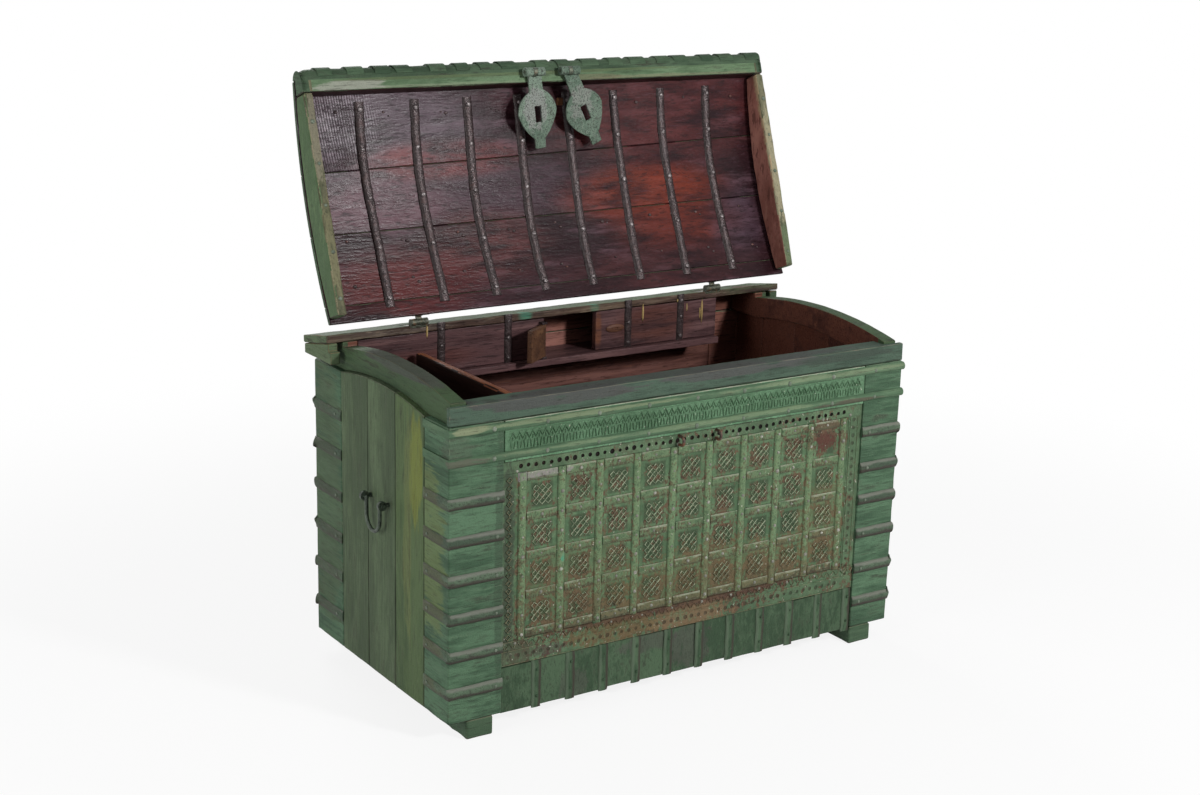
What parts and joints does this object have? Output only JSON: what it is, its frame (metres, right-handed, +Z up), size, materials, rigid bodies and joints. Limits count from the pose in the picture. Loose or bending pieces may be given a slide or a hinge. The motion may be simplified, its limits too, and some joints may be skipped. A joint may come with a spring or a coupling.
{
  "type": "wooden storage chest",
  "caption": "Large painted wooden chest on block feet with a barrel lid held open, iron straps, an embossed front panel, hanging hasps, inner tills and side handles.",
  "frame": {"origin": "on the floor under the middle of the whole chest with its lid open", "axes": "+X to the right when facing the front, +Y from the front to the back, +Z up"},
  "size_m": [1.306, 0.7116, 1.3931],
  "materials": {
    "green_wood": "worn green paint over wood",
    "lid_wood": "dark red-brown oiled boards",
    "bare_wood": "bare brown wood",
    "painted_sheet": "embossed sheet in worn green paint with rust",
    "painted_iron": "half-round iron straps in worn green paint",
    "rusty_iron": "rusted wrought iron",
    "hasp_iron": "wrought iron with worn dark green paint"
  },
  "bodies": {
    "chest": {"left_front_post": "green_wood", "right_front_post": "green_wood", "left_rear_post": "green_wood", "right_rear_post": "green_wood", "left_side_plank_1": "green_wood", "left_side_plank_2": "green_wood", "left_side_plank_3": "green_wood", "right_side_plank_1": "green_wood", "right_side_plank_2": "green_wood", "right_side_plank_3": "green_wood", "left_side_rail": "green_wood", "right_side_rail": "green_wood", "front_rail": "green_wood", "rear_rail": "green_wood", "front_bands": "painted_iron", "frieze_board": "green_wood", "panel_board": "bare_wood", "panel_sheet": "painted_sheet", "panel_ribs": "painted_iron", "panel_straps": "painted_iron", "panel_border": "painted_sheet", "skirt_board": "green_wood", "skirt_straps": "painted_iron", "corner_straps": "painted_iron", "floor_boards": "bare_wood", "feet": "green_wood", "back_plank_1": "green_wood", "back_plank_2": "green_wood", "rear_deck": "green_wood", "left_rear_cheek": "green_wood", "right_rear_cheek": "green_wood", "till_left_panel": "bare_wood", "till_right_panel": "bare_wood", "till_floor": "bare_wood", "till_end": "bare_wood", "till_straps": "rusty_iron", "till_door_eyes": "rusty_iron", "side_till_partition": "bare_wood", "side_till_floor": "bare_wood", "lock_staples": "rusty_iron", "hinge_deck_leaves": "rusty_iron", "hinge_pins": "rusty_iron", "handle_eyes": "rusty_iron"},
    "lid": {"lid_front_rail": "green_wood", "lid_left_cheek": "green_wood", "lid_right_cheek": "green_wood", "lid_board_1": "lid_wood", "lid_board_2": "lid_wood", "lid_board_3": "lid_wood", "lid_board_4": "lid_wood", "lid_inner_straps": "rusty_iron", "lid_outer_straps": "painted_iron", "hinge_lid_leaves": "rusty_iron", "hasp_eyes": "rusty_iron", "hasp_pins": "rusty_iron"},
    "left_hasp": {"left_hasp": "hasp_iron"},
    "right_hasp": {"right_hasp": "hasp_iron"},
    "till_door": {"till_door": "bare_wood"},
    "left_handle": {"left_handle": "rusty_iron"},
    "right_handle": {"right_handle": "rusty_iron"}
  },
  "joints": [
    {"name": "lid_hinge", "type": "hinge", "parent": "chest", "child": "lid", "pos_m": [0, 0.191, 0.81185], "axis": [1, 0, 0], "range_deg": [0, 110.9]},
    {"name": "left_hasp_swing", "type": "hinge", "parent": "lid", "child": "left_hasp", "pos_m": [-0.05, 0.28672, 1.36939], "axis": [1, 0, 0], "range_deg": [-110.9, 0]},
    {"name": "right_hasp_swing", "type": "hinge", "parent": "lid", "child": "right_hasp", "pos_m": [0.05, 0.28672, 1.36939], "axis": [1, 0, 0], "range_deg": [-110.9, 0]},
    {"name": "till_door_hinge", "type": "hinge", "parent": "chest", "child": "till_door", "pos_m": [-0.079, 0.1775, 0.7325], "axis": [0, 0, 1], "range_deg": [0, 144]},
    {"name": "left_handle_swing", "type": "hinge", "parent": "chest", "child": "left_handle", "pos_m": [-0.642, -0.02, 0.47], "axis": [0, 1, 0], "range_deg": [0, 100]},
    {"name": "right_handle_swing", "type": "hinge", "parent": "chest", "child": "right_handle", "pos_m": [0.642, -0.02, 0.47], "axis": [0, -1, 0], "range_deg": [0, 100]}
  ],
  "couplings": [
    {"joint": "left_hasp_swing", "follows": "lid_hinge", "ratio": -1},
    {"joint": "right_hasp_swing", "follows": "lid_hinge", "ratio": -1}
  ]
}
